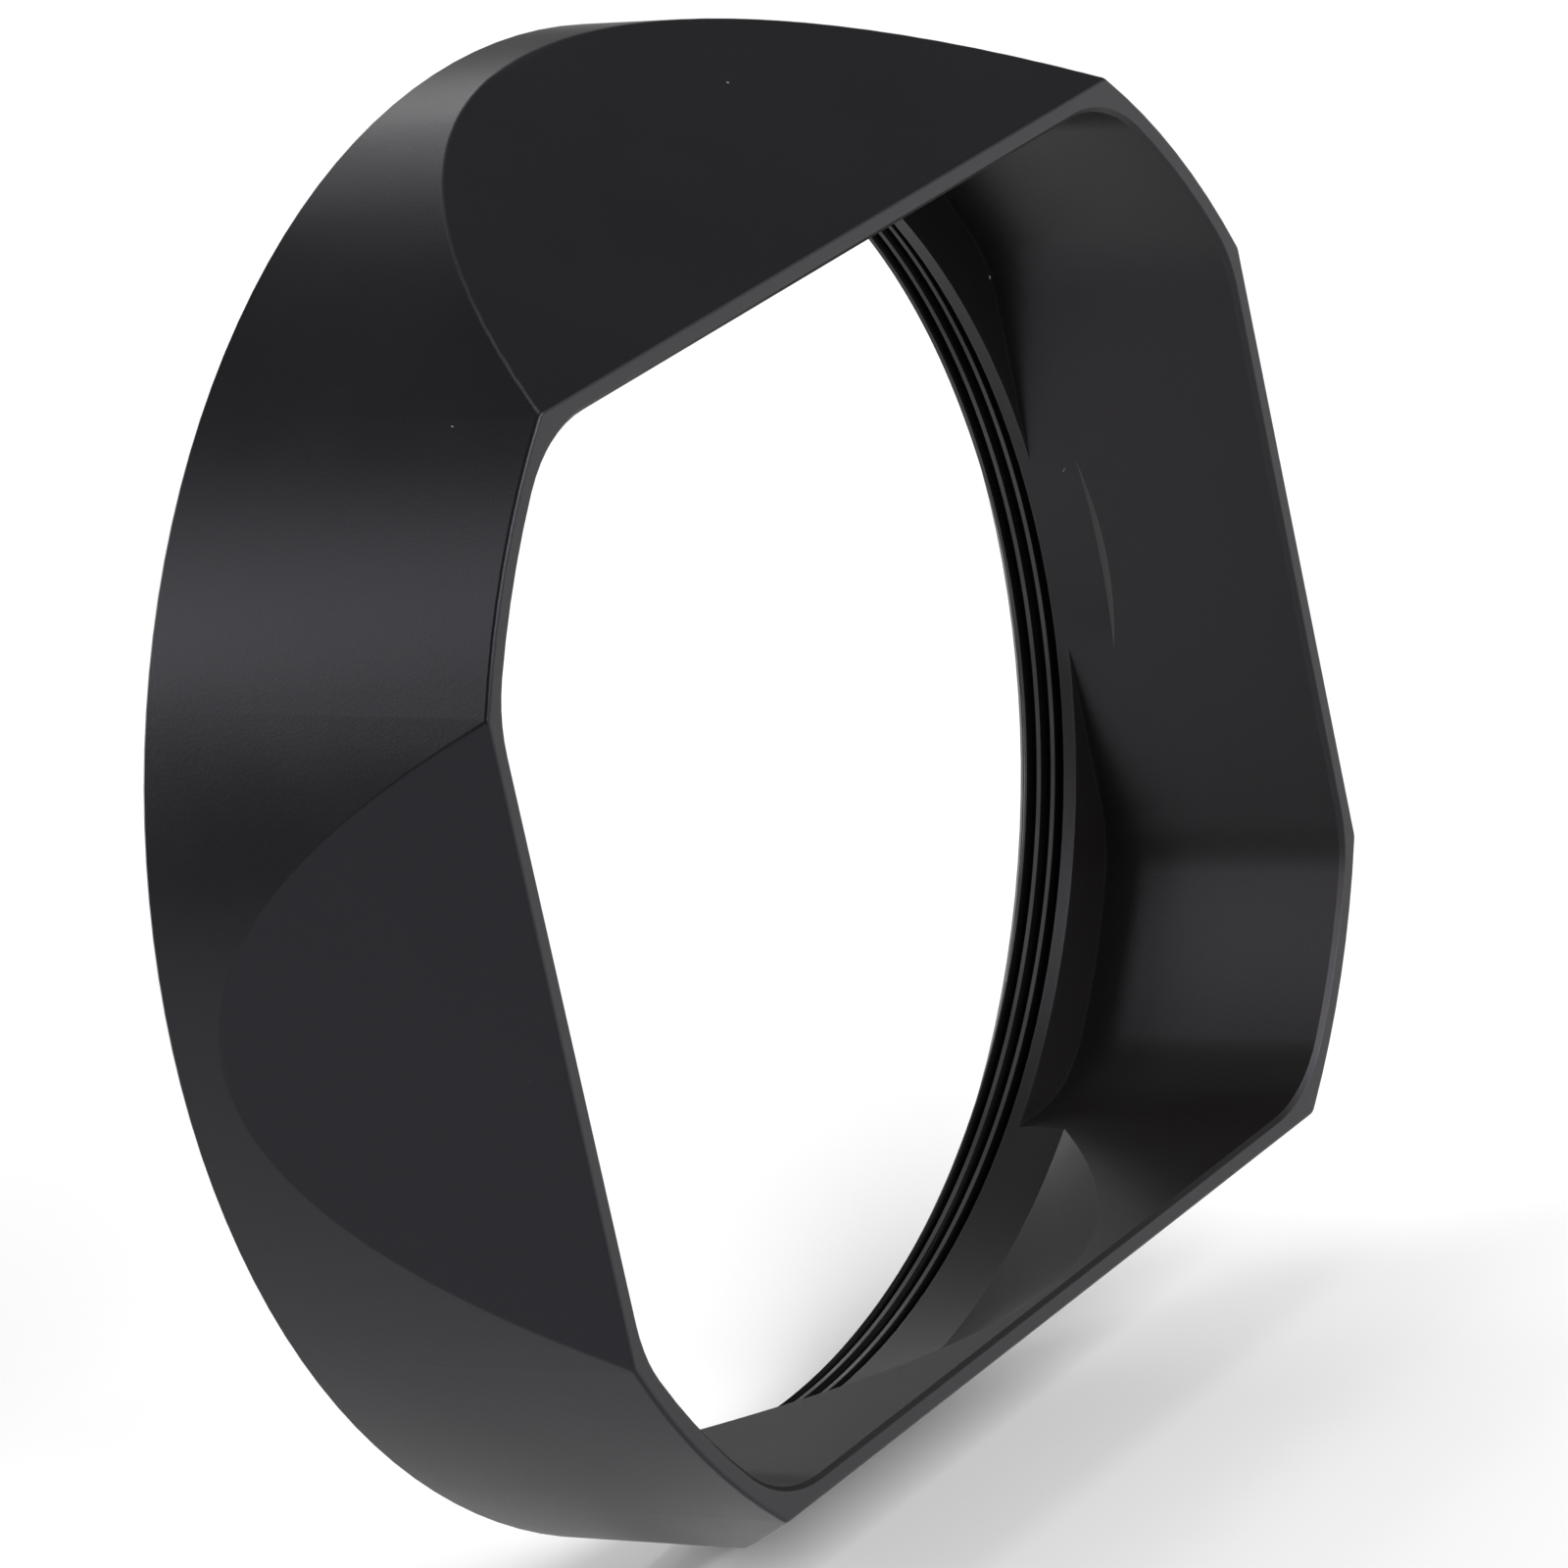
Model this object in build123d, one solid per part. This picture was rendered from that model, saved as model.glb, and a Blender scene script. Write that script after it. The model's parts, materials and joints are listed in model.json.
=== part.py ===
"""A screw-on rectangular lens hood: a milled shell that turns on a threaded collar.

Each piece is drawn about the optical axis with the rear rim at z = 0 and the front at +Z.
The finished pieces are then turned to the position of use: the front opening faces -Y, the
long side of the opening lies along X, and the origin is where the collar's thread begins.
"""
from build123d import *
import os
from math import radians, tan

# ---------------------------------------------------------------- driving dimensions, in mm
# Shell, outside
outer_radius = 32.0        # the round rear of the shell
depth = 17.2               # rear rim to front rim
front_width = 57.8         # over the two short-side flats, at the front rim
front_height = 47.4        # over the two long-side flats, at the front rim
short_flat_angle = 12.0    # tilt of the left and right flats from the optical axis
long_flat_angle = 31.2     # tilt of the top and bottom flats from the optical axis
flat_edge_round = 0.4      # where a flat meets the round body
rim_edge_round = 0.2       # round the outside of the front rim
rear_edge_chamfer = 0.3

# Shell, inside
opening_width = 56.0
opening_height = 45.7
opening_corner_radius = 31.05  # the opening's corners are arcs about the optical axis
opening_corner_blend = 6.0     # round between a corner arc and a straight side
opening_edge_chamfer = 0.2
shelf_depth = 4.75             # rear rim to the flat shelf at the foot of the opening
bore_radius = 28.35            # the round light path behind the shelf
bore_depth = 7.15              # rear rim to where the bore starts to narrow
cone_angle = 30.0              # half angle of the cone that hollows the long walls

# Collar seat in the shell
seat_radius = 30.7
seat_depth = 4.1
seat_mouth_chamfer = 0.35

# Thread M58 x 0.75, internal
thread_major = 58.0
pitch = 0.75
crest_radius = thread_major / 2 - 0.5413 * pitch
root_radius = thread_major / 2 + 0.03
crest_flat = pitch / 4
root_flat = pitch / 8
thread_turns = 3
thread_mouth = 1.8             # rear rim to the first crest: this is the origin

# Collar
collar_back = 1.45             # rear rim to the collar's rear face
collar_front_gap = 0.05        # collar's front face to the seat's shoulder
hub_radius = 29.7
flange_back = 2.45             # rear rim to the flange's rear face
running_clearance = 0.05       # radial
mouth_radius = 29.25           # the lead-in chamfer starts here and ends at the first crest

# Retaining ring and spring washer
ring_inner_radius = 30.1
ring_back = 0.75
ring_front = 1.3
ring_edge_chamfer = 0.1
spanner_slot_width = 2.4
spanner_slot_depth = 0.3
washer_thickness = 0.25
washer_side_clearance = 0.12


def in_place(piece):
    """Turn a piece from the optical axis at +Z to the front facing -Y, origin at the thread."""
    return Rot(90, 0, 0) * Pos(0, 0, -thread_mouth) * piece


def turned(points):
    """A closed outline of (radius, height) points, turned about the optical axis."""
    outline = make_face(Plane.XZ * Polyline(*points, close=True))
    return revolve(outline, Axis.Z)


def wedge_block(half_width_at_front, angle):
    """A block with two long sides along X that lean in towards the front rim."""
    spread = depth * tan(radians(angle))
    back = half_width_at_front + spread
    outline = Polyline(
        (-back, 0),
        (back, 0),
        (half_width_at_front, depth),
        (-half_width_at_front, depth),
        close=True,
    )
    section = make_face(Plane.YZ * outline)
    return extrude(section, amount=outer_radius + 1, both=True)


def shell_outside():
    """A round blank with four flats milled towards the front rim, all its edges softened."""
    blank = Cylinder(outer_radius, depth, align=(Align.CENTER, Align.CENTER, Align.MIN))
    long_sides = wedge_block(front_height / 2, long_flat_angle)
    short_sides = Rot(0, 0, 90) * wedge_block(front_width / 2, short_flat_angle)
    body = blank & long_sides & short_sides
    rear_rim = body.edges().group_by(Axis.Z)[0]
    body = chamfer(rear_rim, rear_edge_chamfer)
    flat_edges = body.edges().filter_by(
        lambda edge: 2 * rear_edge_chamfer < edge.center().Z < depth - rim_edge_round
    )
    body = fillet(flat_edges, flat_edge_round)
    rim_edges = body.edges().group_by(Axis.Z)[-1]
    return fillet(rim_edges, rim_edge_round)


def opening_pocket():
    """The rectangular opening with round corners, from the shelf to beyond the front rim."""
    straight = Rectangle(opening_width, opening_height)
    outline = straight & Circle(opening_corner_radius)
    outline = fillet(outline.vertices(), opening_corner_blend)
    pocket = extrude(Pos(0, 0, shelf_depth) * outline, amount=depth - shelf_depth)
    flare = extrude(
        Pos(0, 0, depth - opening_edge_chamfer) * outline,
        amount=2 * opening_edge_chamfer,
        taper=-45,
    )
    return pocket + flare


def round_light_path():
    """The bore behind the shelf and the cone that narrows towards the front."""
    narrowing = (depth - bore_depth) * tan(radians(cone_angle))
    return turned(
        [
            (0, seat_depth),
            (bore_radius, seat_depth),
            (bore_radius, bore_depth),
            (bore_radius - narrowing, depth),
            (0, depth),
        ]
    )


def collar_seat():
    """The plain counterbore at the rear that the collar turns in."""
    return turned(
        [
            (0, 0),
            (seat_radius + seat_mouth_chamfer, 0),
            (seat_radius, seat_mouth_chamfer),
            (seat_radius, seat_depth),
            (0, seat_depth),
        ]
    )


def hood_shell():
    return shell_outside() - opening_pocket() - round_light_path() - collar_seat()


def thread_outline():
    """The thread as (radius, height) points from the first crest to the run-out groove."""
    flank = (pitch - crest_flat - root_flat) / 2
    points = []
    for turn in range(thread_turns):
        start = thread_mouth + turn * pitch
        points.append((crest_radius, start))
        points.append((crest_radius, start + crest_flat))
        points.append((root_radius, start + crest_flat + flank))
        points.append((root_radius, start + crest_flat + flank + root_flat))
    return points


def thread_collar():
    """The threaded ring that stays on the lens, with a flange that the shell turns around."""
    front = seat_depth - collar_front_gap
    flange_radius = seat_radius - running_clearance
    lead_in = [(mouth_radius, collar_back)]
    run_out = [(root_radius, front)]
    outside = [
        (flange_radius, front),
        (flange_radius, flange_back),
        (hub_radius, flange_back),
        (hub_radius, collar_back),
    ]
    return turned(lead_in + thread_outline()[:-1] + run_out + outside)


def retaining_ring():
    """The ring that closes the seat behind the collar, with two slots for a spanner."""
    ring = turned(
        [
            (ring_inner_radius + ring_edge_chamfer, ring_back),
            (seat_radius, ring_back),
            (seat_radius, ring_front),
            (ring_inner_radius, ring_front),
            (ring_inner_radius, ring_back + ring_edge_chamfer),
        ]
    )
    slots = Box(
        2 * outer_radius,
        spanner_slot_width,
        spanner_slot_depth,
        align=(Align.CENTER, Align.CENTER, Align.MIN),
    )
    return ring - Pos(0, 0, ring_back) * slots


def spring_washer():
    """A thin washer bowed about the Y axis, which presses the collar against its shoulder."""
    inner = hub_radius + washer_side_clearance
    outer = seat_radius - washer_side_clearance
    room = flange_back - ring_front
    bow = room - washer_thickness
    low, high = ring_front, ring_front + bow
    bottom = ThreePointArc((-outer, low), (0, high), (outer, low))
    sides = Line((outer, low), (outer, low + washer_thickness))
    top = ThreePointArc(
        (outer, low + washer_thickness),
        (0, high + washer_thickness),
        (-outer, low + washer_thickness),
    )
    closing = Line((-outer, low + washer_thickness), (-outer, low))
    strip = extrude(
        make_face(Plane.XZ * Wire([bottom, sides, top, closing])),
        amount=outer_radius,
        both=True,
    )
    annulus = turned([(inner, 0), (outer, 0), (outer, depth), (inner, depth)])
    return strip & annulus


pieces = {
    "hood_shell": hood_shell(),
    "thread_collar": thread_collar(),
    "retaining_ring": retaining_ring(),
    "spring_washer": spring_washer(),
}

os.makedirs("parts", exist_ok=True)
for name, piece in pieces.items():
    export_step(in_place(piece), f"parts/{name}.step")
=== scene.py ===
"""Looks of a screw-on rectangular lens hood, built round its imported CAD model.

The shell is a merged copy of its CAD shape, so that its rounds shade evenly. The collar is made
again with a true helical thread. The retaining ring and the spring washer keep their CAD shapes.
Every piece gets an anodised or a spring-steel finish. All sizes are in metres, in the CAD
model's frame: the optical axis lies along Y, the front opening faces -Y, and the origin is where
the thread begins.
"""

import json
import logging
import math
from collections.abc import Sequence
from dataclasses import dataclass
from enum import Enum

import bmesh
import bpy
from mathutils import Matrix, Vector


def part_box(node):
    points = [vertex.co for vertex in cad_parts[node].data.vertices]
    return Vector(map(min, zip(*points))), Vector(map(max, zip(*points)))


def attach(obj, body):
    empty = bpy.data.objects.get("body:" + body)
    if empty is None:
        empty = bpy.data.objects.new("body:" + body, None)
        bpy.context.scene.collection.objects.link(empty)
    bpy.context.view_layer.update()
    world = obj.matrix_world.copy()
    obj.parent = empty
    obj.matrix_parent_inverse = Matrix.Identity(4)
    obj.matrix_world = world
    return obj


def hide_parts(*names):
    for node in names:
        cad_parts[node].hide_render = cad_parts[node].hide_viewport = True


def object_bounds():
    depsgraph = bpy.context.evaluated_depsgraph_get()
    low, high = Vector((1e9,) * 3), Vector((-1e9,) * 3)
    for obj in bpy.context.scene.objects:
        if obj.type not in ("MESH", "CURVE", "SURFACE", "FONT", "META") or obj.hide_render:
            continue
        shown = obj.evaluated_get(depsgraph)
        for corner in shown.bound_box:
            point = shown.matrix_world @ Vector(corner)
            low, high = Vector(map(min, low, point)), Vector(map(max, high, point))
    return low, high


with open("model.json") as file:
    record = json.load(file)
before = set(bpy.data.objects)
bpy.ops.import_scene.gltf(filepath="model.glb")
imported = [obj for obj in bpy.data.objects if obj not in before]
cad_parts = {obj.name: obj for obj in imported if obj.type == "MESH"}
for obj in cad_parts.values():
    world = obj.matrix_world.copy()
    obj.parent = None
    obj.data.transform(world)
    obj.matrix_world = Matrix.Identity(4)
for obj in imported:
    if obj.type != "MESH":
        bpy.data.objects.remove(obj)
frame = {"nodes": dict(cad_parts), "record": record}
cad_low, cad_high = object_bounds()

MM = 0.001
Colour = tuple[float, float, float]
Socket = bpy.types.NodeSocket
Value = Socket | float
log = logging.getLogger("lens_hood")


class Part(Enum):
    """The CAD nodes of the hood."""

    SHELL = "hood_shell"
    COLLAR = "thread_collar"
    RING = "retaining_ring"
    WASHER = "spring_washer"


class Body(Enum):
    """The rigid bodies that the pieces ride on."""

    COLLAR = "collar"
    HOOD = "hood"


# ------------------------------------------------------------------ laying out node trees


class NodeTreeBuilder:
    """Short calls for laying out the nodes of a tree."""

    def __init__(self, tree: bpy.types.NodeTree) -> None:
        """Works on a node tree."""
        self.tree = tree

    def node(self, kind: str, **settings: object) -> bpy.types.Node:
        """Adds a node and sets its properties.

        Args:
            kind: the node's type, such as "ShaderNodeMath".
            settings: properties of the node, by name.

        Returns:
            The new node.
        """
        node = self.tree.nodes.new(kind)
        for name, value in settings.items():
            setattr(node, name, value)
        return node

    def link(self, start: Socket, end: Socket) -> None:
        """Joins an output to an input."""
        self.tree.links.new(start, end)

    def feed(self, value: Value, end: Socket) -> None:
        """Gives an input a number, or joins a socket to it.

        Args:
            value: the number or the output socket.
            end: the input.
        """
        if isinstance(value, (int, float)):
            end.default_value = value
        else:
            self.link(value, end)

    def calculate(self, operation: str, *values: Value, clamp: bool = False) -> Socket:
        """Adds a Math node.

        Args:
            operation: the Math node's operation.
            values: sockets to link or numbers to set, in order.
            clamp: whether the result stays between 0 and 1.

        Returns:
            The result's socket.
        """
        node = self.node("ShaderNodeMath", operation=operation, use_clamp=clamp)
        for value, end in zip(values, node.inputs):
            self.feed(value, end)
        return node.outputs[0]

    def smooth_step(self, value: Socket, low: Value, high: Value, least: float = 0.0) -> Socket:
        """Smoothly maps low..high to least..1. A high below low maps the other way round.

        Args:
            value: the number to map.
            low: the value that gives the least result.
            high: the value that gives 1.
            least: the least result.

        Returns:
            The mapped number's socket.
        """
        node = self.node("ShaderNodeMapRange", interpolation_type="SMOOTHSTEP")
        self.link(value, node.inputs["Value"])
        self.feed(low, node.inputs["From Min"])
        self.feed(high, node.inputs["From Max"])
        node.inputs["To Min"].default_value = least
        return node.outputs["Result"]

    def parts_of(self, vector: Socket) -> bpy.types.Node:
        """Splits a vector.

        Args:
            vector: the vector's socket.

        Returns:
            A node with the outputs X, Y and Z.
        """
        split = self.node("ShaderNodeSeparateXYZ")
        self.link(vector, split.inputs["Vector"])
        return split

    def square_to_axis(self, vector: Socket) -> Socket:
        """Drops a vector's part along the optical axis.

        Args:
            vector: the vector's socket.

        Returns:
            The rest of the vector.
        """
        level = self.node("ShaderNodeVectorMath", operation="MULTIPLY")
        self.link(vector, level.inputs[0])
        level.inputs[1].default_value = (1.0, 0.0, 1.0)
        return level.outputs["Vector"]

    def distance_from_axis(self, place: Socket) -> Socket:
        """Measures how far a place lies from the optical axis.

        Args:
            place: the place's socket.

        Returns:
            The distance's socket.
        """
        measured = self.node("ShaderNodeVectorMath", operation="LENGTH")
        self.link(self.square_to_axis(place), measured.inputs[0])
        return measured.outputs["Value"]


# ------------------------------------------------------------------ shader node groups


class ShaderGroup(NodeTreeBuilder):
    """A shader node group under construction."""

    smallest_size: float = 1e-6

    def __init__(self, name: str) -> None:
        """Starts an empty group.

        Args:
            name: the group's name in the file.
        """
        super().__init__(bpy.data.node_groups.new(name, "ShaderNodeTree"))
        self.source = self.node("NodeGroupInput")
        self.result = self.node("NodeGroupOutput")
        self.place = self.node("ShaderNodeTexCoord").outputs["Object"]

    def number(self, name: str, default: float, low: float = 0.0, high: float = 1.0) -> None:
        """Adds a named number input.

        Args:
            name: the input's name.
            default: its value when none is given.
            low: its lowest value.
            high: its highest value.
        """
        face = self.tree.interface
        socket = face.new_socket(name, in_out="INPUT", socket_type="NodeSocketFloat")
        socket.default_value = default
        socket.min_value = low
        socket.max_value = high

    def output(self, name: str) -> None:
        """Adds a named number output."""
        self.tree.interface.new_socket(name, in_out="OUTPUT", socket_type="NodeSocketFloat")

    def given(self, name: str) -> Socket:
        """Returns the socket of a named input."""
        return self.source.outputs[name]

    def per(self, name: str, count: float = 1.0) -> Socket:
        """Returns the texture scale that puts count features in a size input's length."""
        return self.calculate("DIVIDE", count, self.given(name))

    def give(self, value: Socket, name: str) -> None:
        """Puts a value out under a name."""
        self.link(value, self.result.inputs[name])

    def noise(self, scale: Value, detail: float, roughness: float) -> Socket:
        """Adds solid noise over the piece.

        Args:
            scale: how many features lie in a metre.
            detail: how many finer layers it has.
            roughness: how strong the finer layers are.

        Returns:
            The noise value's socket.
        """
        node = self.node("ShaderNodeTexNoise", noise_dimensions="3D")
        self.link(self.place, node.inputs["Vector"])
        self.feed(scale, node.inputs["Scale"])
        node.inputs["Detail"].default_value = detail
        node.inputs["Roughness"].default_value = roughness
        return node.outputs["Fac"]


def blasted_grain_group() -> bpy.types.NodeTree:
    """The fine grain of bead-blasted, anodised metal.

    Returns:
        A group whose outputs are a height for a Bump node, a mask of fine specks and a mask of
        broad tone changes.
    """
    pit_share = 0.45
    group = ShaderGroup("blasted_grain")
    group.number("Grain Size", 0.12 * MM, low=group.smallest_size)
    group.number("Patch Size", 9 * MM, low=group.smallest_size)
    group.output("Height")
    group.output("Speckle")
    group.output("Patches")

    fine = group.noise(group.per("Grain Size"), detail=3.0, roughness=0.62)
    broad = group.noise(group.per("Patch Size"), detail=4.0, roughness=0.5)
    pits = group.node("ShaderNodeTexVoronoi", feature="SMOOTH_F1")
    pits.inputs["Smoothness"].default_value = 0.6
    group.link(group.place, pits.inputs["Vector"])
    group.link(group.per("Grain Size", count=0.7), pits.inputs["Scale"])

    pitted = group.calculate("MULTIPLY", pits.outputs["Distance"], pit_share)
    group.give(group.calculate("ADD", fine, pitted), "Height")
    group.give(group.smooth_step(fine, low=0.35, high=0.65), "Speckle")
    group.give(group.smooth_step(broad, low=0.32, high=0.68), "Patches")
    return group.tree


def edge_wear_highlight_group() -> bpy.types.NodeTree:
    """Where hands and bags have rubbed the edges, which also paints a highlight along them.

    Returns:
        A group whose output is 1 on worn edges with their painted highlight and 0 on flat faces.
    """
    rub_spacing = 2.2 * MM
    group = ShaderGroup("edge_wear_highlight")
    group.number("Radius", 0.3 * MM)
    group.number("Patchiness", 0.5)
    group.output("Wear Highlight")

    softened = group.node("ShaderNodeBevel", samples=8)
    group.link(group.given("Radius"), softened.inputs["Radius"])
    true_normal = group.node("ShaderNodeNewGeometry").outputs["Normal"]
    turn = group.node("ShaderNodeVectorMath", operation="DOT_PRODUCT")
    group.link(softened.outputs["Normal"], turn.inputs[0])
    group.link(true_normal, turn.inputs[1])
    bent = group.calculate("SUBTRACT", 1.0, turn.outputs["Value"])
    edge = group.smooth_step(bent, low=0.004, high=0.09)

    rub = group.noise(1 / rub_spacing, detail=5.0, roughness=0.65)
    spots = group.smooth_step(rub, low=0.38, high=0.62)
    kept = group.calculate("SUBTRACT", 1.0, group.given("Patchiness"))
    cover = group.calculate("MULTIPLY_ADD", spots, group.given("Patchiness"), kept)
    group.give(group.calculate("MULTIPLY", edge, cover), "Wear Highlight")
    return group.tree


def turning_marks_group() -> bpy.types.NodeTree:
    """Fine rings that a lathe tool leaves round the optical axis.

    Returns:
        A group whose output is a height for a Bump node.
    """
    wave_share = 0.3
    group = ShaderGroup("turning_marks")
    group.number("Feed", 0.09 * MM, low=group.smallest_size)
    group.output("Height")

    along_axis = group.parts_of(group.place).outputs["Y"]
    travel = group.calculate("ADD", group.distance_from_axis(group.place), along_axis)
    passes = group.calculate("DIVIDE", travel, group.given("Feed"))
    chatter = group.node("ShaderNodeTexNoise", noise_dimensions="1D")
    chatter.inputs["Scale"].default_value = 1.0
    chatter.inputs["Detail"].default_value = 2.0
    group.link(passes, chatter.inputs["W"])
    wave = group.calculate("SINE", group.calculate("MULTIPLY", passes, 2 * math.pi))
    height = group.calculate("MULTIPLY_ADD", wave, wave_share, chatter.outputs["Fac"])
    group.give(height, "Height")
    return group.tree


def dust_group() -> bpy.types.NodeTree:
    """Sparse ragged specks of dust.

    Returns:
        A group whose output is 1 on a speck and 0 elsewhere.
    """
    ragged_spacing = 0.09 * MM
    group = ShaderGroup("dust")
    group.number("Spacing", 3.5 * MM, low=group.smallest_size)
    group.number("Speck Size", 0.03)
    group.output("Specks")

    cells = group.node("ShaderNodeTexVoronoi", feature="F1")
    group.link(group.place, cells.inputs["Vector"])
    group.link(group.per("Spacing"), cells.inputs["Scale"])
    chance = group.node("ShaderNodeSeparateColor")
    group.link(cells.outputs["Color"], chance.inputs["Color"])
    few_large = group.calculate("POWER", chance.outputs["Red"], 2.0)
    size = group.calculate("MULTIPLY", group.given("Speck Size"), few_large)
    ragged = group.noise(1 / ragged_spacing, detail=2.0, roughness=0.5)
    uneven = group.calculate("MULTIPLY", size, group.calculate("MULTIPLY", ragged, 2.0))
    group.give(group.calculate("LESS_THAN", cells.outputs["Distance"], uneven), "Specks")
    return group.tree


@dataclass
class EffectGroups:
    """The effects that several materials share."""

    grain: bpy.types.NodeTree
    wear_highlight: bpy.types.NodeTree
    turning: bpy.types.NodeTree
    dust: bpy.types.NodeTree

    @classmethod
    def build(cls) -> "EffectGroups":
        """Builds each group once."""
        return cls(blasted_grain_group(), edge_wear_highlight_group(), turning_marks_group(), dust_group())


# ------------------------------------------------------------------ finishes


@dataclass(frozen=True)
class Finish:
    """A metal finish: its colours, its sheen and the strength of each surface effect.

    A colour that is None leaves its effect out. Some colours are painted light: the rim colour
    is a painted reflection, the inside colour painted bounce light, the worn colour edge wear
    with a painted edge highlight, and the crest colour a painted highlight on a thread's crests.
    The crest radius is where that painted crest highlight ends, measured from the optical axis.
    """

    name: str
    slot: str
    colour: Colour
    patch_colour: Colour
    # edge wear colour, which also paints the highlight of rounded edges
    worn_highlight_colour: Colour
    roughness: float
    roughness_spread: float = 0.05
    metallic: float = 0.0
    specular: float = 0.5
    specular_tint: Colour = (1.0, 1.0, 1.0)
    grain_size: float = 0.12 * MM
    grain_depth: float = 0.004 * MM
    wear_highlight_radius: float = 0.3 * MM
    wear_highlight_amount: float = 0.5
    wear_polish: float = 0.12
    turning_depth: float = 0.0
    turning_feed: float = 0.09 * MM
    dust_amount: float = 0.0
    dust_colour: Colour = (0.42, 0.41, 0.40)
    # painted reflection: a lighter colour on the front rim stands in for the light it reflects
    rim_reflection_colour: Colour | None = None
    # painted bounce light: a lighter, warmer colour on the inner walls
    inside_bounce_light_colour: Colour | None = None
    inside_roughness: float = 0.0
    # painted highlight: a lighter colour on a thread's crests
    crest_highlight_colour: Colour | None = None
    crest_highlight_radius: float = 0.0
    crest_highlight_patchiness: float = 0.45

    def material(self, effects: EffectGroups) -> bpy.types.Material:
        """Builds the material.

        Args:
            effects: the shared node groups.

        Returns:
            The finished material.
        """
        return FinishBuilder(self, effects).build()


class FinishBuilder(NodeTreeBuilder):
    """Lays out the nodes of one finish.

    The front rim's painted reflection is full at rim_full from the front and gone at rim_gone. A
    wall's facing is its distance from the optical axis times how squarely it faces away: at
    facing_in or less it is an inner wall, which gets painted bounce light, at facing_out or more
    an outer one. The painted crest highlight blends in over crest_blend.
    """

    rim_full: float = 0.01 * MM
    rim_gone: float = 0.05 * MM
    facing_in: float = 2 * MM
    facing_out: float = 9 * MM
    crest_blend: float = 0.02 * MM
    under_input: int = 6
    over_input: int = 7
    mixed_output: int = 2

    def __init__(self, finish: Finish, effects: EffectGroups) -> None:
        """Starts the material.

        Args:
            finish: the finish to lay out.
            effects: the shared node groups.
        """
        self.finish = finish
        self.effects = effects
        self.material = bpy.data.materials.new(finish.name)
        self.material.use_nodes = True
        super().__init__(self.material.node_tree)
        self.surface = self.tree.nodes["Principled BSDF"]
        self.inside = self.inside_mask() if finish.inside_bounce_light_colour else None

    def effect(self, tree: bpy.types.NodeTree, **inputs: float) -> bpy.types.Node:
        """Places a shared group.

        Args:
            tree: the group.
            inputs: its input values, with _ for each space in a name.

        Returns:
            The group node.
        """
        node = self.node("ShaderNodeGroup", node_tree=tree)
        for name, value in inputs.items():
            node.inputs[name.replace("_", " ")].default_value = value
        return node

    def tint(self, mask: Socket, under: Socket | Colour, over: Colour) -> Socket:
        """Mixes a colour over another where a mask is high.

        Args:
            mask: the mix factor.
            under: the colour beneath, as a socket or a plain colour.
            over: the colour on top.

        Returns:
            The mixed colour's socket.
        """
        mix = self.node("ShaderNodeMix", data_type="RGBA")
        self.link(mask, mix.inputs["Factor"])
        if isinstance(under, tuple):
            mix.inputs[self.under_input].default_value = (*under, 1.0)
        else:
            self.link(under, mix.inputs[self.under_input])
        mix.inputs[self.over_input].default_value = (*over, 1.0)
        return mix.outputs[self.mixed_output]

    def front_rim_mask(self) -> Socket:
        """Finds the fine-cut front rim face, which gets a painted reflection, by its place along
        the optical axis.

        Returns:
            A mask that is 1 on the face.
        """
        place = self.node("ShaderNodeTexCoord").outputs["Object"]
        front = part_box(Part.SHELL.value)[0].y
        along_axis = self.parts_of(place).outputs["Y"]
        return self.smooth_step(along_axis, front + self.rim_gone, front + self.rim_full)

    def inside_mask(self) -> Socket:
        """Finds the walls that face the optical axis or lie square to it.

        Returns:
            A mask that is 1 on those walls.
        """
        coordinates = self.node("ShaderNodeTexCoord").outputs
        outward = self.node("ShaderNodeVectorMath", operation="DOT_PRODUCT")
        self.link(self.square_to_axis(coordinates["Object"]), outward.inputs[0])
        self.link(coordinates["Normal"], outward.inputs[1])
        return self.smooth_step(outward.outputs["Value"], self.facing_out, self.facing_in)

    def crest_highlight_mask(self, grain: bpy.types.Node) -> Socket:
        """Finds the thread's crests, which get a painted highlight in patches.

        Args:
            grain: the placed grain group.

        Returns:
            A mask that is up to 1 on the crests.
        """
        place = self.node("ShaderNodeTexCoord").outputs["Object"]
        radius = self.finish.crest_highlight_radius
        from_axis = self.distance_from_axis(place)
        crest = self.smooth_step(from_axis, radius, radius - self.crest_blend)
        varied = self.finish.crest_highlight_patchiness
        patchy = self.calculate("MULTIPLY_ADD", grain.outputs["Patches"], varied, 1 - varied)
        return self.calculate("MULTIPLY", crest, patchy)

    def colour(self, grain: bpy.types.Node, wear_highlight: bpy.types.Node) -> Socket:
        """Layers the base colour: patches, painted bounce light on the inner walls, a painted
        reflection on the rim, a painted crest highlight, worn edges with a painted highlight, and
        dust.

        Args:
            grain: the placed grain group.
            wear_highlight: the placed group of edge wear and painted edge highlight.

        Returns:
            The base colour's socket.
        """
        finish = self.finish
        shade = self.tint(grain.outputs["Patches"], finish.colour, finish.patch_colour)
        # painted bounce light: the inner walls are lightened and warmed to stand in for light
        # bouncing inside
        if finish.inside_bounce_light_colour:
            shade = self.tint(self.inside, shade, finish.inside_bounce_light_colour)
        # painted reflection: the fine-cut front rim is lightened to stand in for reflected light
        if finish.rim_reflection_colour:
            shade = self.tint(self.front_rim_mask(), shade, finish.rim_reflection_colour)
        # painted highlight: the thread's crests are lightened in patches to stand in for their
        # highlight
        if finish.crest_highlight_colour:
            shade = self.tint(self.crest_highlight_mask(grain), shade, finish.crest_highlight_colour)
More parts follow.
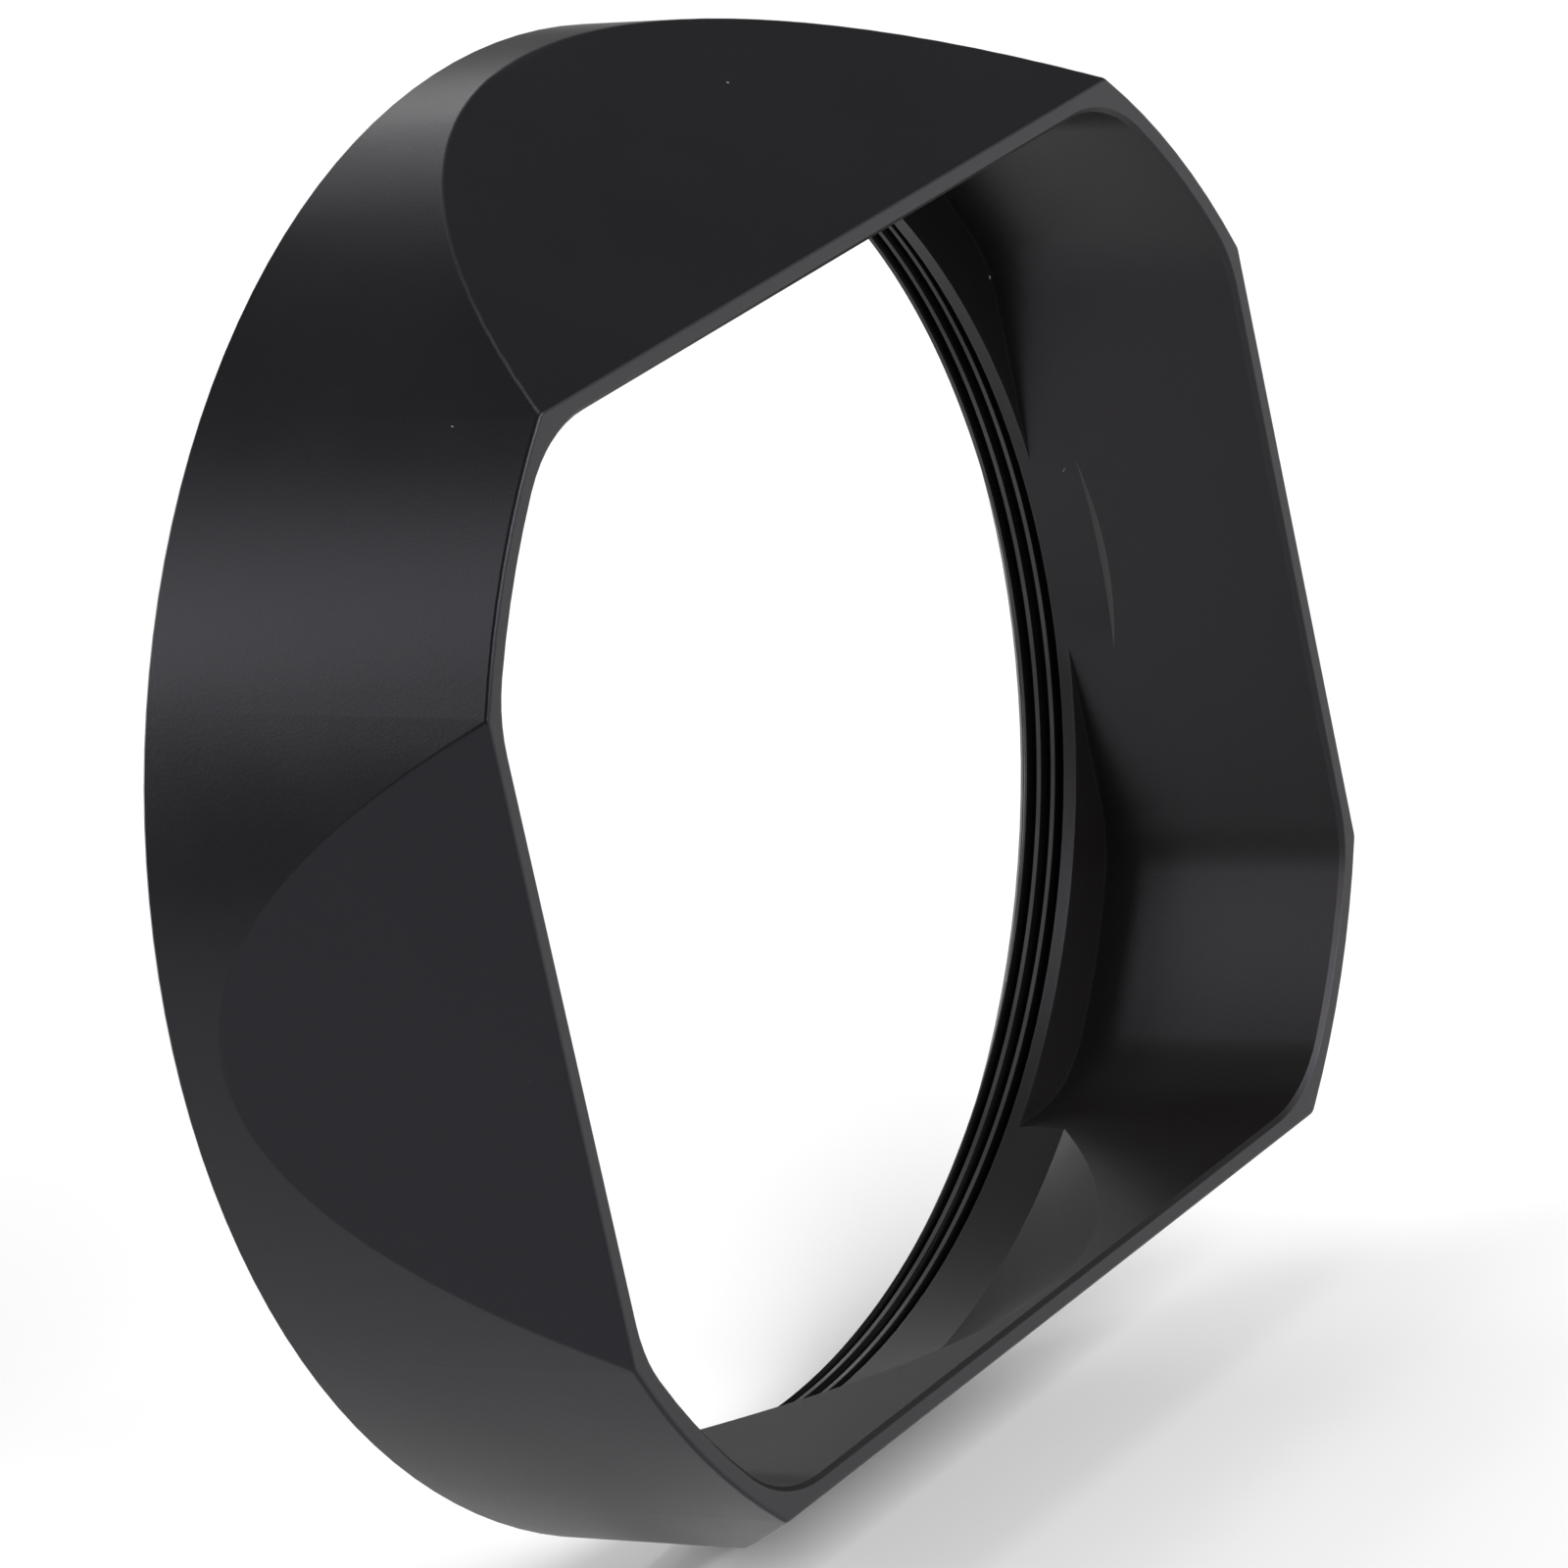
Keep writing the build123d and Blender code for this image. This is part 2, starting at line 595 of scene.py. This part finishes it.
        # edge wear and painted highlight: rounded edges are lightened partly for wear, partly to
        # stand in for their highlight
        worn_highlight = self.calculate("MULTIPLY", wear_highlight.outputs["Wear Highlight"], finish.wear_highlight_amount)
        shade = self.tint(worn_highlight, shade, finish.worn_highlight_colour)
        if finish.dust_amount:
            dust = self.effect(self.effects.dust)
            specks = self.calculate("MULTIPLY", dust.outputs["Specks"], finish.dust_amount)
            shade = self.tint(specks, shade, finish.dust_colour)
        return shade

    def sheen_of(self, grain: bpy.types.Node, wear_highlight: bpy.types.Node) -> Socket:
        """Varies the roughness over patches, grain, worn edges and inner walls.

        Args:
            grain: the placed grain group.
            wear_highlight: the placed group of edge wear and painted edge highlight.

        Returns:
            The roughness's socket.
        """
        finish = self.finish
        spread = finish.roughness_spread
        polish = -finish.wear_polish * finish.wear_highlight_amount
        add = "MULTIPLY_ADD"
        rough = self.calculate(add, grain.outputs["Patches"], spread, finish.roughness - spread)
        rough = self.calculate(add, grain.outputs["Speckle"], spread, rough)
        rough = self.calculate(add, wear_highlight.outputs["Wear Highlight"], polish, rough, clamp=True)
        if self.inside is None:
            return rough
        return self.calculate(add, self.inside, finish.inside_roughness, rough, clamp=True)

    def relief(self, grain: bpy.types.Node) -> Socket:
        """Bumps the surface with the grain and, on turned parts, the lathe's rings.

        Args:
            grain: the placed grain group.

        Returns:
            The bumped normal's socket.
        """
        finish = self.finish
        bump = self.node("ShaderNodeBump")
        bump.inputs["Distance"].default_value = finish.grain_depth
        self.link(grain.outputs["Height"], bump.inputs["Height"])
        if not finish.turning_depth:
            return bump.outputs["Normal"]
        marks = self.effect(self.effects.turning, Feed=finish.turning_feed)
        rings = self.node("ShaderNodeBump")
        rings.inputs["Distance"].default_value = finish.turning_depth
        self.link(marks.outputs["Height"], rings.inputs["Height"])
        self.link(bump.outputs["Normal"], rings.inputs["Normal"])
        return rings.outputs["Normal"]

    def build(self) -> bpy.types.Material:
        """Joins colour, roughness and relief to the surface shader.

        Returns:
            The finished material.
        """
        finish = self.finish
        grain = self.effect(self.effects.grain, Grain_Size=finish.grain_size)
        wear_highlight = self.effect(self.effects.wear_highlight, Radius=finish.wear_highlight_radius)
        self.link(self.colour(grain, wear_highlight), self.surface.inputs["Base Color"])
        self.link(self.sheen_of(grain, wear_highlight), self.surface.inputs["Roughness"])
        self.link(self.relief(grain), self.surface.inputs["Normal"])
        self.surface.inputs["Metallic"].default_value = finish.metallic
        self.surface.inputs["Specular IOR Level"].default_value = finish.specular
        self.surface.inputs["Specular Tint"].default_value = (*finish.specular_tint, 1.0)
        return self.material


BLASTED_BLACK = Finish(
    name="satin_black_shell",
    slot="shell_black",
    colour=(0.0020, 0.0019, 0.0032),
    patch_colour=(0.0027, 0.0026, 0.0041),
    # painted bounce light on the inner walls
    inside_bounce_light_colour=(0.0060, 0.0052, 0.0048),
    inside_roughness=0.06,
    # worn edges, lightened partly as a painted edge highlight
    worn_highlight_colour=(0.03, 0.03, 0.032),
    # painted reflection on the fine-cut front rim face
    rim_reflection_colour=(0.016, 0.016, 0.0165),
    roughness=0.33,
    roughness_spread=0.03,
    specular=0.27,
    specular_tint=(0.92, 0.885, 1.0),
    grain_size=0.11 * MM,
    grain_depth=0.0035 * MM,
    wear_highlight_radius=0.28 * MM,
    wear_highlight_amount=0.25,
    dust_amount=0.6,
)
TURNED_BLACK = Finish(
    name="black_thread_collar",
    slot="collar_black",
    colour=(0.0024, 0.0023, 0.0023),
    patch_colour=(0.0032, 0.0031, 0.0031),
    # worn thread edges, lightened partly as a painted highlight
    worn_highlight_colour=(0.10, 0.10, 0.098),
    # painted highlight on the thread's crests
    crest_highlight_colour=(0.060, 0.060, 0.059),
    crest_highlight_radius=28.625 * MM,
    roughness=0.26,
    roughness_spread=0.03,
    specular=0.08,
    grain_size=0.08 * MM,
    grain_depth=0.0008 * MM,
    wear_highlight_radius=0.03 * MM,
    wear_highlight_amount=0.3,
    turning_depth=0.001 * MM,
    turning_feed=0.07 * MM,
)
RING_BLACK = Finish(
    name="black_retaining_ring",
    slot="ring_black",
    colour=(0.0028, 0.0028, 0.003),
    patch_colour=(0.0038, 0.0038, 0.004),
    worn_highlight_colour=(0.09, 0.09, 0.09),
    roughness=0.34,
    specular=0.3,
    grain_size=0.09 * MM,
    grain_depth=0.0008 * MM,
    wear_highlight_radius=0.08 * MM,
    wear_highlight_amount=0.4,
    turning_depth=0.0012 * MM,
    turning_feed=0.1 * MM,
)
SPRING_STEEL = Finish(
    name="spring_steel_washer",
    slot="spring_steel",
    colour=(0.24, 0.238, 0.235),
    patch_colour=(0.30, 0.297, 0.29),
    worn_highlight_colour=(0.42, 0.415, 0.41),
    roughness=0.36,
    metallic=1.0,
    grain_size=0.15 * MM,
    grain_depth=0.0004 * MM,
    wear_highlight_radius=0.05 * MM,
    wear_highlight_amount=0.3,
    turning_depth=0.0005 * MM,
    turning_feed=0.12 * MM,
)


# ------------------------------------------------------------------ helpers for meshes


def set_finish(piece: bpy.types.Object, material: bpy.types.Material) -> None:
    """Gives a piece one material for all its faces.

    Args:
        piece: the mesh object.
        material: its material.
    """
    if not piece.material_slots:
        piece.data.materials.append(material)
    for slot in piece.material_slots:
        slot.material = material


def linked_object(name: str, mesh: bpy.types.Mesh) -> bpy.types.Object:
    """Puts a mesh in the scene at the origin.

    Args:
        name: the object's name.
        mesh: its mesh.

    Returns:
        The new object.
    """
    made = bpy.data.objects.new(name, mesh)
    bpy.context.scene.collection.objects.link(made)
    return made


def plain_mesh(name: str, shape: bmesh.types.BMesh) -> bpy.types.Mesh:
    """Makes a mesh of a finished shape and frees the shape.

    Args:
        name: the mesh's name.
        shape: the shape.

    Returns:
        The mesh.
    """
    mesh = bpy.data.meshes.new(name)
    shape.to_mesh(mesh)
    shape.free()
    return mesh


def set_shading(mesh: bpy.types.Mesh, sharp_angle: float) -> None:
    """Shades a mesh smooth except at its sharp edges.

    Args:
        mesh: the mesh.
        sharp_angle: the smallest turn at a sharp edge, in degrees.
    """
    mesh.shade_smooth()
    mesh.set_sharp_from_angle(angle=math.radians(sharp_angle))


# ------------------------------------------------------------------ sub-assemblies


@dataclass
class HoodShell:
    """The milled shell with its four tapered flats, in its CAD shape."""

    merge_distance: float = 0.001 * MM
    sharp_angle: float = 28.0
    finish: Finish = BLASTED_BLACK

    def build(self, effects: EffectGroups) -> bpy.types.Object:
        """Makes the shell in place of its CAD node, with its rounds shaded evenly.

        Args:
            effects: the shared node groups.

        Returns:
            The shell, riding on its body.
        """
        shell = linked_object("milled_shell", self.merged_copy())
        shading = shell.modifiers.new("even_shading", "WEIGHTED_NORMAL")
        shading.keep_sharp = True
        set_finish(shell, self.finish.material(effects))
        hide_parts(Part.SHELL.value)
        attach(shell, Body.HOOD.value)
        return shell

    def merged_copy(self) -> bpy.types.Mesh:
        """Copies the CAD node's mesh and joins its loose triangles.

        Returns:
            The copy, shaded smooth except at its sharp edges.
        """
        shape = bmesh.new()
        shape.from_mesh(frame["nodes"][Part.SHELL.value].data)
        bmesh.ops.remove_doubles(shape, verts=shape.verts, dist=self.merge_distance)
        mesh = plain_mesh("milled_shell", shape)
        stored = mesh.attributes.get("custom_normal")
        if stored:
            mesh.attributes.remove(stored)
        mesh.materials.clear()
        set_shading(mesh, self.sharp_angle)
        return mesh


@dataclass
class SeatHardware:
    """The retaining ring and the spring washer behind the collar, in their CAD shapes."""

    ring_finish: Finish = RING_BLACK
    washer_finish: Finish = SPRING_STEEL

    def dress(self, effects: EffectGroups) -> list[bpy.types.Object]:
        """Gives both pieces their finishes.

        Args:
            effects: the shared node groups.

        Returns:
            The ring and the washer.
        """
        ring = frame["nodes"][Part.RING.value]
        washer = frame["nodes"][Part.WASHER.value]
        set_finish(ring, self.ring_finish.material(effects))
        set_finish(washer, self.washer_finish.material(effects))
        return [ring, washer]


class HelicalThread(NodeTreeBuilder):
    """A Geometry Nodes tree that sweeps a trapezoid section along an inside helix.

    The helix has helix_points sections, each with side_cuts extra points on a side, and the
    section shrinks to end_scale of its size at both ends.
    """

    sizes: tuple[str, ...] = (
        "Root Radius",
        "Depth",
        "Pitch",
        "Turns",
        "Crest Width",
        "Root Width",
        "Start Angle",
        "Start Y",
        "Run Out",
        "Front Y",
        "Mouth Y",
        "Mouth Radius",
        "Mouth Slope",
    )
    helix_points: int = 780
    side_cuts: int = 3
    end_scale: float = 0.02

    def __init__(self) -> None:
        """Starts the tree, with named inputs for the thread's sizes and its material."""
        super().__init__(bpy.data.node_groups.new("helical_thread", "GeometryNodeTree"))
        face = self.tree.interface
        face.new_socket("Geometry", in_out="INPUT", socket_type="NodeSocketGeometry")
        for name in self.sizes:
            face.new_socket(name, in_out="INPUT", socket_type="NodeSocketFloat")
        face.new_socket("Material", in_out="INPUT", socket_type="NodeSocketMaterial")
        face.new_socket("Geometry", in_out="OUTPUT", socket_type="NodeSocketGeometry")
        self.inputs = self.node("NodeGroupInput").outputs
        self.along = self.node("GeometryNodeSplineParameter").outputs["Factor"]

    def point(self, x: Value, y: Value, z: Value) -> Socket:
        """Makes a vector.

        Args:
            x: its first part, as a number or a socket.
            y: its second part.
            z: its third part.

        Returns:
            The vector's socket.
        """
        node = self.node("ShaderNodeCombineXYZ")
        for value, end in zip((x, y, z), node.inputs):
            self.feed(value, end)
        return node.outputs["Vector"]

    def placed(self, geometry: Socket, position: Socket) -> Socket:
        """Moves every point of a geometry.

        Args:
            geometry: the geometry.
            position: where each point goes.

        Returns:
            The moved geometry.
        """
        node = self.node("GeometryNodeSetPosition")
        self.link(geometry, node.inputs["Geometry"])
        self.link(position, node.inputs["Position"])
        return node.outputs["Geometry"]

    def helix(self) -> Socket:
        """Winds a curve round the optical axis, whose normals point at the axis.

        Returns:
            The curve.
        """
        line = self.node("GeometryNodeCurvePrimitiveLine")
        cut = self.node("GeometryNodeResampleCurve")
        cut.inputs["Count"].default_value = self.helix_points
        self.link(line.outputs["Curve"], cut.inputs["Curve"])

        inputs = self.inputs
        turned = self.calculate("MULTIPLY", self.along, inputs["Turns"])
        angle = self.calculate("MULTIPLY_ADD", turned, 2 * math.pi, inputs["Start Angle"])
        advance = self.calculate("MULTIPLY", turned, inputs["Pitch"])
        cosine, sine = self.calculate("COSINE", angle), self.calculate("SINE", angle)
        place = self.point(
            self.calculate("MULTIPLY", cosine, inputs["Root Radius"]),
            self.calculate("SUBTRACT", inputs["Start Y"], advance),
            self.calculate("MULTIPLY", sine, inputs["Root Radius"]),
        )
        inward = self.point(
            self.calculate("MULTIPLY", cosine, -1.0), 0.0, self.calculate("MULTIPLY", sine, -1.0)
        )
        facing = self.node("GeometryNodeSetCurveNormal", mode="FREE")
        self.link(self.placed(cut.outputs["Curve"], place), facing.inputs["Curve"])
        self.link(inward, facing.inputs["Normal"])
        return facing.outputs["Curve"]

    def section(self) -> Socket:
        """Draws the trapezoid section: X towards the optical axis, Y along it.

        Returns:
            The closed curve.
        """
        outline = self.node("GeometryNodeCurvePrimitiveQuadrilateral", mode="POINTS")
        corners = (
            ("Point 1", 0.0, "Root Width", -0.5),
            ("Point 2", 1.0, "Crest Width", -0.5),
            ("Point 3", 1.0, "Crest Width", 0.5),
            ("Point 4", 0.0, "Root Width", 0.5),
        )
        for name, height, width, side in corners:
            corner = self.point(
                self.calculate("MULTIPLY", self.inputs["Depth"], height),
                self.calculate("MULTIPLY", self.inputs[width], side),
                0.0,
            )
            self.link(corner, outline.inputs[name])
        divided = self.node("GeometryNodeSubdivideCurve")
        divided.inputs["Cuts"].default_value = self.side_cuts
        self.link(outline.outputs["Curve"], divided.inputs["Curve"])
        return divided.outputs["Curve"]

    def ridge(self) -> Socket:
        """Sweeps the section along the helix and lets it run out at both ends.

        Returns:
            The closed ridge.
        """
        to_end = self.calculate("SUBTRACT", 1.0, self.along)
        nearest_end = self.calculate("MINIMUM", self.along, to_end)
        fade = self.smooth_step(nearest_end, 0.0, self.inputs["Run Out"], least=self.end_scale)
        sweep = self.node("GeometryNodeCurveToMesh")
        sweep.inputs["Fill Caps"].default_value = True
        self.link(self.helix(), sweep.inputs["Curve"])
        self.link(self.section(), sweep.inputs["Profile Curve"])
        self.link(fade, sweep.inputs["Scale"])
        return sweep.outputs["Mesh"]

    def trimmed(self, ridge: Socket) -> Socket:
        """Keeps the ridge within the two end faces and outside the lead-in chamfer.

        Args:
            ridge: the ridge.

        Returns:
            The cut ridge.
        """
        inputs = self.inputs
        position = self.node("GeometryNodeInputPosition").outputs["Position"]
        spot = self.parts_of(position).outputs
        radius = self.distance_from_axis(position)
        before_mouth = self.calculate("MINIMUM", spot["Y"], inputs["Mouth Y"])
        kept_y = self.calculate("MAXIMUM", before_mouth, inputs["Front Y"])
        from_mouth = self.calculate("SUBTRACT", inputs["Mouth Y"], kept_y)
        inset = self.calculate("MULTIPLY", from_mouth, inputs["Mouth Slope"])
        chamfer = self.calculate("SUBTRACT", inputs["Mouth Radius"], inset)
        kept_radius = self.calculate("MAXIMUM", radius, chamfer)
        growth = self.calculate("DIVIDE", kept_radius, radius)
        moved = self.point(
            self.calculate("MULTIPLY", spot["X"], growth),
            kept_y,
            self.calculate("MULTIPLY", spot["Z"], growth),
        )
        return self.placed(ridge, moved)

    def build(self) -> bpy.types.NodeTree:
        """Joins the pieces of the tree.

        Returns:
            The finished tree.
        """
        real = self.node("GeometryNodeRealizeInstances")
        self.link(self.trimmed(self.ridge()), real.inputs["Geometry"])
        finish = self.node("GeometryNodeSetMaterial")
        self.link(real.outputs["Geometry"], finish.inputs["Geometry"])
        self.link(self.inputs["Material"], finish.inputs["Material"])
        self.link(finish.outputs["Geometry"], self.node("NodeGroupOutput").inputs["Geometry"])
        return self.tree


@dataclass
class ThreadedCollar:
    """The collar that stays on the lens, turned from a ring and cut with a helical thread."""

    pitch: float = 0.75 * MM
    turns: float = 2.9
    start_angle: float = math.pi
    thread_depth: float = 0.436 * MM
    first_crest: float = 0.44 * MM
    crest_share: float = 0.25
    root_share: float = 0.92
    run_out_share: float = 0.03
    hub_radius: float = 29.7 * MM
    flange_thickness: float = 1.6 * MM
    mouth_radius: float = 29.25 * MM
    mouth_depth: float = 0.35 * MM
    edge_break: float = 0.1 * MM
    overlap: float = 0.03 * MM
    segments: int = 256
    sharp_angle: float = 25.0
    finish: Finish = TURNED_BLACK

    def build(self, effects: EffectGroups) -> bpy.types.Object:
        """Makes the collar in place of its CAD node.

        Args:
            effects: the shared node groups.

        Returns:
            The collar, riding on its body.
        """
        material = self.finish.material(effects)
        mesh = self.joined(self.turned_blank(), self.thread_ridge(material))
        collar = linked_object("collar_with_thread", mesh)
        set_finish(collar, material)
        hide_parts(Part.COLLAR.value)
        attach(collar, Body.COLLAR.value)
        return collar

    @property
    def crest_radius(self) -> float:
        """The thread's crest radius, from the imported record's mount."""
        thread = next(m for m in frame["record"]["mounts"] if m["name"] == "lens_thread")
        return thread["dims"]["r_mm"] * MM

    @property
    def root_radius(self) -> float:
        """The thread's root radius."""
        return self.crest_radius + self.thread_depth

    @property
    def mouth_slope(self) -> float:
        """How far the lead-in chamfer comes in for each unit along the axis."""
        return (self.mouth_radius - self.crest_radius) / self.mouth_depth

    def outline(self) -> list[tuple[float, float]]:
        """Draws the ring's cross-section, from the mouth round to the hub.

        Returns:
            Its corners as (radius, y) points.
        """
        low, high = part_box(Part.COLLAR.value)
        front, back, rim = low.y, high.y, high.x
        root = self.root_radius
        step = self.edge_break
        flange_back = front + self.flange_thickness
        return [
            (self.mouth_radius, back),
            (root, back - (self.mouth_radius - root) / self.mouth_slope),
            (root, front + step),
            (root + step, front),
            (rim - step, front),
            (rim, front + step),
            (rim, flange_back - step),
            (rim - step, flange_back),
            (self.hub_radius, flange_back),
            (self.hub_radius, back - step),
            (self.hub_radius - step, back),
        ]

    def turned_blank(self) -> bpy.types.Mesh:
        """Spins the cross-section round the optical axis.

        Returns:
            A closed ring.
        """
        shape = bmesh.new()
        outline = self.outline()
        rows = []
        for turn in range(self.segments):
            angle = 2 * math.pi * turn / self.segments
            cosine, sine = math.cos(angle), math.sin(angle)
            rows.append([shape.verts.new((r * cosine, y, r * sine)) for r, y in outline])
        for turn in range(self.segments):
            here, there = rows[turn], rows[(turn + 1) % self.segments]
            for place in range(len(outline)):
                after = (place + 1) % len(outline)
                shape.faces.new((here[place], here[after], there[after], there[place]))
        bmesh.ops.recalc_face_normals(shape, faces=shape.faces)
        return plain_mesh("collar_blank", shape)

    def ridge_inputs(self, material: bpy.types.Material) -> dict[str, float | bpy.types.Material]:
        """Works out the thread tree's inputs. The ridge reaches a little into the ring.

        Args:
            material: the ridge's material.

        Returns:
            The inputs by name.
        """
        front, back = (corner.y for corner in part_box(Part.COLLAR.value))
        return {
            "Root Radius": self.root_radius + self.overlap,
            "Depth": self.thread_depth + self.overlap,
            "Pitch": self.pitch,
            "Turns": self.turns,
            "Crest Width": self.pitch * self.crest_share,
            "Root Width": self.pitch * self.root_share,
            "Start Angle": self.start_angle,
            "Start Y": back - self.first_crest + self.pitch / 2,
            "Run Out": self.run_out_share,
            "Front Y": front + self.overlap / 2,
            "Mouth Y": back - self.overlap / 2,
            "Mouth Radius": self.mouth_radius + self.overlap / 2,
            "Mouth Slope": self.mouth_slope,
            "Material": material,
        }

    def thread_ridge(self, material: bpy.types.Material) -> bpy.types.Mesh:
        """Makes the thread's ridge with Geometry Nodes.

        Args:
            material: the ridge's material.

        Returns:
            The ridge as a plain mesh.
        """
        tree = HelicalThread().build()
        carrier = linked_object("thread_carrier", bpy.data.meshes.new("thread_carrier"))
        modifier = carrier.modifiers.new("thread", "NODES")
        modifier.node_group = tree
        inputs = self.ridge_inputs(material)
        for socket in tree.interface.items_tree:
            if socket.in_out == "INPUT" and socket.name in inputs:
                modifier[socket.identifier] = inputs[socket.name]
        evaluated = carrier.evaluated_get(bpy.context.evaluated_depsgraph_get())
        mesh = bpy.data.meshes.new_from_object(evaluated)
        carrier.modifiers.clear()
        bpy.data.objects.remove(carrier)
        return mesh

    def joined(self, *meshes: bpy.types.Mesh) -> bpy.types.Mesh:
        """Joins meshes into one, shaded smooth except at its sharp edges.

        Args:
            meshes: the meshes to join.

        Returns:
            One mesh.
        """
        shape = bmesh.new()
        for mesh in meshes:
            shape.from_mesh(mesh)
        made = plain_mesh("collar_with_thread", shape)
        set_shading(made, self.sharp_angle)
        return made


# ------------------------------------------------------------------ studio


def direction(azimuth: float, elevation: float) -> Vector:
    """Finds the direction from the hood to an angle.

    Args:
        azimuth: degrees round the hood, where 0 is in front of it and 90 is on its +X side.
        elevation: degrees above level.

    Returns:
        The direction, of length 1.
    """
    around, above = math.radians(azimuth), math.radians(elevation)
    level = math.cos(above)
    return Vector((math.sin(around) * level, -math.cos(around) * level, math.sin(above)))


@dataclass(frozen=True)
class Softbox:
    """A soft rectangular light that faces the hood.

    Radiance is how bright the light's face looks, where 1 renders as white.
    """

    name: str
    azimuth: float
    elevation: float
    distance: float
    size: tuple[float, float]
    radiance: float

    def build(self) -> bpy.types.Object:
        """Adds the light.

        Returns:
            The light object.
        """
        towards = direction(self.azimuth, self.elevation)
        lamp = bpy.data.lights.new(self.name, "AREA")
        lamp.shape = "RECTANGLE"
        lamp.size, lamp.size_y = self.size
        lamp.energy = math.pi * self.size[0] * self.size[1] * self.radiance
        made = bpy.data.objects.new(self.name, lamp)
        bpy.context.scene.collection.objects.link(made)
        made.location = towards * self.distance
        made.rotation_euler = towards.to_track_quat("Z", "Y").to_euler()
        return made


@dataclass(frozen=True)
class Camera:
    """The camera, placed by its direction from the hood, its roll and its distance."""

    azimuth: float = -52.98
    elevation: float = 17.36
    roll: float = 12.28
    distance: float = 402.4 * MM
    aim: tuple[float, float, float] = (3.03 * MM, -4.67 * MM, -1.27 * MM)
    focal_length: float = 218.6
    sensor_width: float = 36.0
    nearest: float = 0.01
    farthest: float = 50.0

    def build(self) -> bpy.types.Object:
        """Adds the camera and makes it the scene's own.

        Returns:
            The camera object.
        """
        tilt = math.radians(self.roll)
        back = direction(self.azimuth, self.elevation)
        level_right = Vector((0, 0, 1)).cross(back).normalized()
        level_up = back.cross(level_right)
        up = level_up * math.cos(tilt) + level_right * math.sin(tilt)
        right = up.cross(back)
        turn = Matrix((right, up, back)).transposed().to_4x4()
        lens = bpy.data.cameras.new("camera")
        lens.lens = self.focal_length
        lens.sensor_width = self.sensor_width
        lens.clip_start = self.nearest
        lens.clip_end = self.farthest
        made = bpy.data.objects.new("camera", lens)
        made.matrix_world = Matrix.Translation(Vector(self.aim) + back * self.distance) @ turn
        bpy.context.scene.collection.objects.link(made)
        bpy.context.scene.camera = made
        return made


@dataclass
class Studio:
    """A pale floor, soft lights, dim surroundings and the camera."""

    floor_size: float = 6.0
    floor_colour: Colour = (0.88, 0.88, 0.88)
    floor_roughness: float = 0.9
    floor_specular: float = 0.1
    ambient_colour: Colour = (1.0, 1.0, 1.0)
    ambient: float = 0.245
    camera: Camera = Camera()
    softboxes: Sequence[Softbox] = (
        Softbox("left_back_softbox", -137, 36, 1.2, (0.36, 0.50), 2.4),
        Softbox("right_back_softbox", 131, 30, 1.2, (0.20, 0.20), 3.8),
        Softbox("right_back_high_softbox", 140, 42, 1.2, (0.26, 0.26), 1.5),
        Softbox("overhead_softbox", 100, 80, 1.3, (0.70, 0.50), 2.8),
        Softbox("front_softbox", 0, 33, 1.3, (1.80, 0.50), 8.3),
        Softbox("left_floor_softbox", -158, 20, 1.2, (0.50, 0.35), 10.8),
        Softbox("back_floor_softbox", 176, 12, 1.2, (0.50, 0.30), 11.0),
    )

    def build(self) -> None:
        """Builds the floor, the surroundings, the lights and the camera."""
        self.build_floor()
        self.build_surroundings()
        for softbox in self.softboxes:
            softbox.build()
        self.camera.build()

    def build_floor(self) -> None:
        """Lays a large pale floor under the hood."""
        half = self.floor_size / 2
        sides = ((-half, -half), (half, -half), (half, half), (-half, half))
        mesh = bpy.data.meshes.new("floor")
        mesh.from_pydata([(x, y, cad_low.z) for x, y in sides], [], [(0, 1, 2, 3)])
        floor = linked_object("floor", mesh)
        material = bpy.data.materials.new("pale_floor")
        material.use_nodes = True
        surface = material.node_tree.nodes["Principled BSDF"]
        surface.inputs["Base Color"].default_value = (*self.floor_colour, 1.0)
        surface.inputs["Roughness"].default_value = self.floor_roughness
        surface.inputs["Specular IOR Level"].default_value = self.floor_specular
        mesh.materials.append(material)

    def build_surroundings(self) -> None:
        """Fills the room with an even dim grey."""
        world = bpy.data.worlds.new("studio")
        world.use_nodes = True
        sky = world.node_tree.nodes["Background"]
        sky.inputs["Color"].default_value = (*self.ambient_colour, 1.0)
        sky.inputs["Strength"].default_value = self.ambient
        bpy.context.scene.world = world
        bpy.context.scene.view_settings.view_transform = "Standard"


# ------------------------------------------------------------------ making the hood


def main() -> None:
    """Builds the studio and every piece of the hood, in order."""
    logging.basicConfig(level=logging.INFO, format="%(name)s: %(message)s")
    Studio().build()
    effects = EffectGroups.build()
    shell = HoodShell().build(effects)
    log.info("made %s", shell.name)
    collar = ThreadedCollar().build(effects)
    log.info("made %s", collar.name)
    for piece in SeatHardware().dress(effects):
        log.info("dressed %s", piece.name)


if __name__ == "__main__":
    main()
